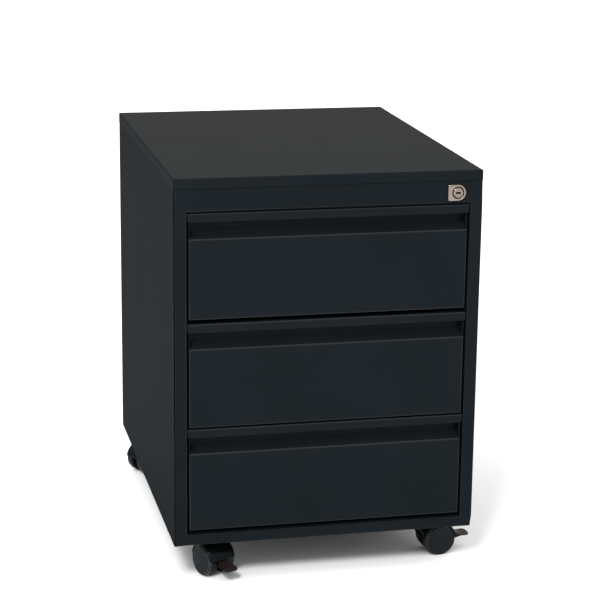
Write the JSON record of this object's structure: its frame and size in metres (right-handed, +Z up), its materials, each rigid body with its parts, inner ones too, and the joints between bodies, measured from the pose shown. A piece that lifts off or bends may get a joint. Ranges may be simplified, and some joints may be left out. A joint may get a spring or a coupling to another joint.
{
  "type": "mobile drawer pedestal",
  "caption": "Steel under-desk drawer pedestal on castors, with recessed full-width grips, a cam lock and brake pedals.",
  "frame": {"origin": "on the floor, under the centre of the cabinet", "axes": "+Z up, -Y towards the user (the drawer fronts face -Y), +X to the right seen from the front"},
  "size_m": [0.4764, 0.5926, 0.62],
  "materials": {
    "shell_paint": "fine satin anthracite powder coat",
    "front_paint": "fine satin anthracite powder coat",
    "tray_paint": "satin anthracite powder coat",
    "zinc_steel": "bright zinc-plated steel",
    "nickel": "satin nickel-plated zinc casting",
    "white_nylon": "natural moulded nylon",
    "black_nylon": "black moulded nylon, semi-gloss",
    "wheel_plastic": "black moulded wheel, semi-gloss",
    "pedal_plastic": "dark moulded nylon lever"
  },
  "bodies": {
    "cabinet": {"left_side_panel": "shell_paint", "right_side_panel": "shell_paint", "back_panel": "shell_paint", "top_cover": "shell_paint", "base_pan": "shell_paint", "header_rail": "shell_paint", "cabinet_runner_left_1": "zinc_steel", "cabinet_runner_right_1": "zinc_steel", "cabinet_runner_left_2": "zinc_steel", "cabinet_runner_right_2": "zinc_steel", "cabinet_runner_left_3": "zinc_steel", "cabinet_runner_right_3": "zinc_steel", "lock_housing": "nickel", "castor_plate_front_left": "zinc_steel", "castor_plate_front_right": "zinc_steel", "castor_plate_rear_left": "zinc_steel", "castor_plate_rear_right": "zinc_steel"},
    "drawer_1": {"drawer_front_1": "front_paint", "drawer_tray_1": "tray_paint", "drawer_runner_left_1": "zinc_steel", "drawer_runner_right_1": "zinc_steel"},
    "cabinet_roller_left_1": {"cabinet_roller_left_1": "white_nylon"},
    "drawer_roller_left_1": {"drawer_roller_left_1": "white_nylon"},
    "cabinet_roller_right_1": {"cabinet_roller_right_1": "white_nylon"},
    "drawer_roller_right_1": {"drawer_roller_right_1": "white_nylon"},
    "drawer_2": {"drawer_front_2": "front_paint", "drawer_tray_2": "tray_paint", "drawer_runner_left_2": "zinc_steel", "drawer_runner_right_2": "zinc_steel"},
    "cabinet_roller_left_2": {"cabinet_roller_left_2": "white_nylon"},
    "drawer_roller_left_2": {"drawer_roller_left_2": "white_nylon"},
    "cabinet_roller_right_2": {"cabinet_roller_right_2": "white_nylon"},
    "drawer_roller_right_2": {"drawer_roller_right_2": "white_nylon"},
    "drawer_3": {"drawer_front_3": "front_paint", "drawer_tray_3": "tray_paint", "drawer_runner_left_3": "zinc_steel", "drawer_runner_right_3": "zinc_steel"},
    "cabinet_roller_left_3": {"cabinet_roller_left_3": "white_nylon"},
    "drawer_roller_left_3": {"drawer_roller_left_3": "white_nylon"},
    "cabinet_roller_right_3": {"cabinet_roller_right_3": "white_nylon"},
    "drawer_roller_right_3": {"drawer_roller_right_3": "white_nylon"},
    "lock": {"lock_plug": "nickel"},
    "locking_bar": {"locking_bar": "zinc_steel", "locking_hook_1": "zinc_steel", "locking_hook_2": "zinc_steel", "locking_hook_3": "zinc_steel"},
    "castor_front_left": {"castor_fork_front_left": "black_nylon"},
    "wheel_front_left_a": {"castor_wheel_front_left_a": "wheel_plastic"},
    "wheel_front_left_b": {"castor_wheel_front_left_b": "wheel_plastic"},
    "pedal_front_left": {"brake_pedal_front_left": "pedal_plastic"},
    "castor_front_right": {"castor_fork_front_right": "black_nylon"},
    "wheel_front_right_a": {"castor_wheel_front_right_a": "wheel_plastic"},
    "wheel_front_right_b": {"castor_wheel_front_right_b": "wheel_plastic"},
    "pedal_front_right": {"brake_pedal_front_right": "pedal_plastic"},
    "castor_rear_left": {"castor_fork_rear_left": "black_nylon"},
    "wheel_rear_left_a": {"castor_wheel_rear_left_a": "wheel_plastic"},
    "wheel_rear_left_b": {"castor_wheel_rear_left_b": "wheel_plastic"},
    "castor_rear_right": {"castor_fork_rear_right": "black_nylon"},
    "wheel_rear_right_a": {"castor_wheel_rear_right_a": "wheel_plastic"},
    "wheel_rear_right_b": {"castor_wheel_rear_right_b": "wheel_plastic"}
  },
  "joints": [
    {"name": "drawer_1_slide", "type": "slide", "parent": "cabinet", "child": "drawer_1", "axis": [0, -1, 0], "range_m": [0, 0.4]},
    {"name": "cabinet_roller_left_1_spin", "type": "hinge", "parent": "cabinet", "child": "cabinet_roller_left_1", "pos_m": [-0.2045, -0.25, 0.4375], "axis": [1, 0, 0], "range_deg": [-30, 3556]},
    {"name": "drawer_roller_left_1_spin", "type": "hinge", "parent": "drawer_1", "child": "drawer_roller_left_1", "pos_m": [-0.2045, 0.25, 0.4355], "axis": [1, 0, 0], "range_deg": [-30, 3556]},
    {"name": "cabinet_roller_right_1_spin", "type": "hinge", "parent": "cabinet", "child": "cabinet_roller_right_1", "pos_m": [0.2045, -0.25, 0.4375], "axis": [1, 0, 0], "range_deg": [-30, 3556]},
    {"name": "drawer_roller_right_1_spin", "type": "hinge", "parent": "drawer_1", "child": "drawer_roller_right_1", "pos_m": [0.2045, 0.25, 0.4355], "axis": [1, 0, 0], "range_deg": [-30, 3556]},
    {"name": "drawer_2_slide", "type": "slide", "parent": "cabinet", "child": "drawer_2", "axis": [0, -1, 0], "range_m": [0, 0.4]},
    {"name": "cabinet_roller_left_2_spin", "type": "hinge", "parent": "cabinet", "child": "cabinet_roller_left_2", "pos_m": [-0.2045, -0.25, 0.2735], "axis": [1, 0, 0], "range_deg": [-30, 3556]},
    {"name": "drawer_roller_left_2_spin", "type": "hinge", "parent": "drawer_2", "child": "drawer_roller_left_2", "pos_m": [-0.2045, 0.25, 0.2715], "axis": [1, 0, 0], "range_deg": [-30, 3556]},
    {"name": "cabinet_roller_right_2_spin", "type": "hinge", "parent": "cabinet", "child": "cabinet_roller_right_2", "pos_m": [0.2045, -0.25, 0.2735], "axis": [1, 0, 0], "range_deg": [-30, 3556]},
    {"name": "drawer_roller_right_2_spin", "type": "hinge", "parent": "drawer_2", "child": "drawer_roller_right_2", "pos_m": [0.2045, 0.25, 0.2715], "axis": [1, 0, 0], "range_deg": [-30, 3556]},
    {"name": "drawer_3_slide", "type": "slide", "parent": "cabinet", "child": "drawer_3", "axis": [0, -1, 0], "range_m": [0, 0.4]},
    {"name": "cabinet_roller_left_3_spin", "type": "hinge", "parent": "cabinet", "child": "cabinet_roller_left_3", "pos_m": [-0.2045, -0.25, 0.1135], "axis": [1, 0, 0], "range_deg": [-30, 3556]},
    {"name": "drawer_roller_left_3_spin", "type": "hinge", "parent": "drawer_3", "child": "drawer_roller_left_3", "pos_m": [-0.2045, 0.25, 0.1115], "axis": [1, 0, 0], "range_deg": [-30, 3556]},
    {"name": "cabinet_roller_right_3_spin", "type": "hinge", "parent": "cabinet", "child": "cabinet_roller_right_3", "pos_m": [0.2045, -0.25, 0.1135], "axis": [1, 0, 0], "range_deg": [-30, 3556]},
    {"name": "drawer_roller_right_3_spin", "type": "hinge", "parent": "drawer_3", "child": "drawer_roller_right_3", "pos_m": [0.2045, 0.25, 0.1115], "axis": [1, 0, 0], "range_deg": [-30, 3556]},
    {"name": "bar_drop", "type": "slide", "parent": "cabinet", "child": "locking_bar", "axis": [0, 0, -1], "range_m": [0, 0.01414]},
    {"name": "lock_turn", "type": "hinge", "parent": "cabinet", "child": "lock", "pos_m": [0.1915, -0.297, 0.587], "axis": [0, 1, 0], "range_deg": [-0.5, 90.5]},
    {"name": "swivel_front_left", "type": "hinge", "parent": "cabinet", "child": "castor_front_left", "pos_m": [-0.172, -0.228, 0.063], "axis": [0, 0, 1], "continuous": true},
    {"name": "wheel_front_left_a_spin", "type": "hinge", "parent": "castor_front_left", "child": "wheel_front_left_a", "pos_m": [-0.1634, -0.24825, 0.025], "axis": [0.9205, 0.3907, 0], "continuous": true},
    {"name": "wheel_front_left_b_spin", "type": "hinge", "parent": "castor_front_left", "child": "wheel_front_left_b", "pos_m": [-0.1634, -0.24825, 0.025], "axis": [0.9205, 0.3907, 0], "continuous": true},
    {"name": "pedal_front_left_press", "type": "hinge", "parent": "castor_front_left", "child": "pedal_front_left", "pos_m": [-0.15793, -0.26114, 0.0255], "axis": [0.9205, 0.3907, 0], "range_deg": [-8, 4]},
    {"name": "swivel_front_right", "type": "hinge", "parent": "cabinet", "child": "castor_front_right", "pos_m": [0.172, -0.228, 0.063], "axis": [0, 0, 1], "continuous": true},
    {"name": "wheel_front_right_a_spin", "type": "hinge", "parent": "castor_front_right", "child": "wheel_front_right_a", "pos_m": [0.19392, -0.22608, 0.025], "axis": [-0.0872, 0.9962, 0], "continuous": true},
    {"name": "wheel_front_right_b_spin", "type": "hinge", "parent": "castor_front_right", "child": "wheel_front_right_b", "pos_m": [0.19392, -0.22608, 0.025], "axis": [-0.0872, 0.9962, 0], "continuous": true},
    {"name": "pedal_front_right_press", "type": "hinge", "parent": "castor_front_right", "child": "pedal_front_right", "pos_m": [0.20786, -0.22486, 0.0255], "axis": [-0.0872, 0.9962, 0], "range_deg": [0, 12]},
    {"name": "swivel_rear_left", "type": "hinge", "parent": "cabinet", "child": "castor_rear_left", "pos_m": [-0.179, 0.228, 0.063], "axis": [0, 0, 1], "continuous": true},
    {"name": "wheel_rear_left_a_spin", "type": "hinge", "parent": "castor_rear_left", "child": "wheel_rear_left_a", "pos_m": [-0.19894, 0.2187, 0.025], "axis": [0.4226, -0.9063, 0], "continuous": true},
    {"name": "wheel_rear_left_b_spin", "type": "hinge", "parent": "castor_rear_left", "child": "wheel_rear_left_b", "pos_m": [-0.19894, 0.2187, 0.025], "axis": [0.4226, -0.9063, 0], "continuous": true},
    {"name": "swivel_rear_right", "type": "hinge", "parent": "cabinet", "child": "castor_rear_right", "pos_m": [0.172, 0.228, 0.063], "axis": [0, 0, 1], "continuous": true},
    {"name": "wheel_rear_right_a_spin", "type": "hinge", "parent": "castor_rear_right", "child": "wheel_rear_right_a", "pos_m": [0.161, 0.24705, 0.025], "axis": [-0.866, -0.5, 0], "continuous": true},
    {"name": "wheel_rear_right_b_spin", "type": "hinge", "parent": "castor_rear_right", "child": "wheel_rear_right_b", "pos_m": [0.161, 0.24705, 0.025], "axis": [-0.866, -0.5, 0], "continuous": true}
  ],
  "couplings": [
    {"joint": "cabinet_roller_left_1_spin", "follows": "drawer_1_slide", "rad_per_m": 153.85},
    {"joint": "drawer_roller_left_1_spin", "follows": "drawer_1_slide", "rad_per_m": 153.85},
    {"joint": "cabinet_roller_right_1_spin", "follows": "drawer_1_slide", "rad_per_m": 153.85},
    {"joint": "drawer_roller_right_1_spin", "follows": "drawer_1_slide", "rad_per_m": 153.85},
    {"joint": "cabinet_roller_left_2_spin", "follows": "drawer_2_slide", "rad_per_m": 153.85},
    {"joint": "drawer_roller_left_2_spin", "follows": "drawer_2_slide", "rad_per_m": 153.85},
    {"joint": "cabinet_roller_right_2_spin", "follows": "drawer_2_slide", "rad_per_m": 153.85},
    {"joint": "drawer_roller_right_2_spin", "follows": "drawer_2_slide", "rad_per_m": 153.85},
    {"joint": "cabinet_roller_left_3_spin", "follows": "drawer_3_slide", "rad_per_m": 153.85},
    {"joint": "drawer_roller_left_3_spin", "follows": "drawer_3_slide", "rad_per_m": 153.85},
    {"joint": "cabinet_roller_right_3_spin", "follows": "drawer_3_slide", "rad_per_m": 153.85},
    {"joint": "drawer_roller_right_3_spin", "follows": "drawer_3_slide", "rad_per_m": 153.85},
    {"joint": "lock_turn", "follows": "bar_drop", "rad_per_m": 111.07}
  ]
}
